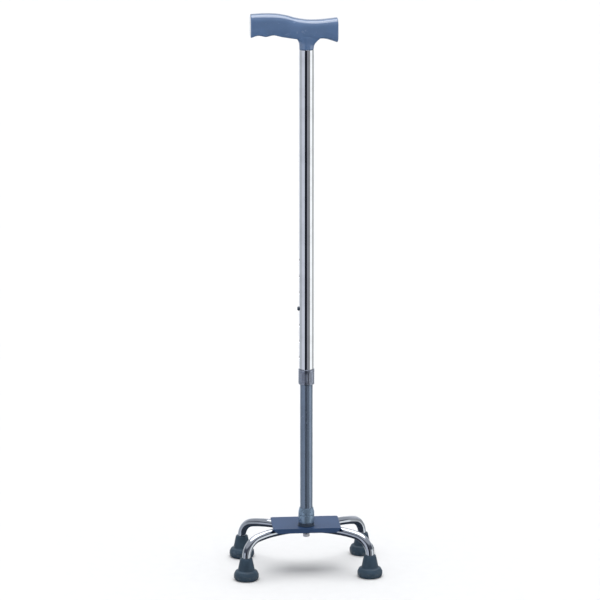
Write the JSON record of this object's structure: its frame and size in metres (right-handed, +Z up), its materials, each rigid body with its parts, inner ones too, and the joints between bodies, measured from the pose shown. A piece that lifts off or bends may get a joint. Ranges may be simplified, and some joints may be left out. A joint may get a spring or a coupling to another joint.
{
  "type": "quad walking cane",
  "caption": "Height-adjustable walking cane with a moulded T-grip, telescoping shaft with snap button and lock ring, and a small four-footed base.",
  "frame": {"origin": "on the floor, in the middle of the footprint of the four tips", "axes": "+Z up along the shaft, X across the base with the long arm of the handle towards -X, -Y towards the front edge of the base"},
  "size_m": [0.226, 0.153, 0.861],
  "materials": {
    "handle_plastic": "glossy moulded plastic",
    "chrome": "polished",
    "dark_chrome": "polished, darker and bluish",
    "ring_metal": "satin anodised",
    "plate_paint": "smooth semi-gloss paint",
    "socket_paint": "smooth gloss paint",
    "black_plastic": "satin",
    "white_plastic": "satin",
    "rubber": "matte",
    "steel": "plated",
    "spring_steel": "bright"
  },
  "bodies": {
    "base": {"lower_tube": "dark_chrome", "top_guide_bush": "white_plastic", "button_spring": "spring_steel", "socket_cap": "socket_paint", "socket_sleeve": "socket_paint", "socket_ring": "black_plastic", "base_plate": "plate_paint", "front_leg_tube": "chrome", "rear_leg_tube": "chrome", "centre_bolt": "steel", "centre_washer": "steel", "tube_foot_plug": "steel", "tip_front_left": "rubber", "tip_front_right": "rubber", "tip_rear_left": "rubber", "tip_rear_right": "rubber", "tip_washer_front_left": "steel", "tip_washer_front_right": "steel", "tip_washer_rear_left": "steel", "tip_washer_rear_right": "steel"},
    "upper": {"handle": "handle_plastic", "handle_rivet": "steel", "upper_tube": "chrome"},
    "button": {"snap_button": "black_plastic"},
    "collet": {"lock_collet": "white_plastic"},
    "ring": {"lock_ring": "ring_metal"}
  },
  "joints": [
    {"name": "height_slide", "type": "slide", "parent": "base", "child": "upper", "axis": [0, 0, 1], "range_m": [-0.075, 0.075]},
    {"name": "button_press", "type": "slide", "parent": "base", "child": "button", "axis": [1, 0, 0], "range_m": [0, 0.0042], "stiffness_N_per_m": 2500, "springref_m": -0.004, "deforming": ["button_spring"]},
    {"name": "collet_slide", "type": "slide", "parent": "upper", "child": "collet", "axis": [0, 0, -1], "range_m": [0, 0.0015]},
    {"name": "lock_ring_turn", "type": "hinge", "parent": "collet", "child": "ring", "pos_m": [0, -0.0225, 0.2953], "axis": [0, 0, -1], "range_deg": [0, 360]}
  ],
  "couplings": [
    {"joint": "collet_slide", "follows": "lock_ring_turn", "m_per_rad": 0.00023873}
  ]
}
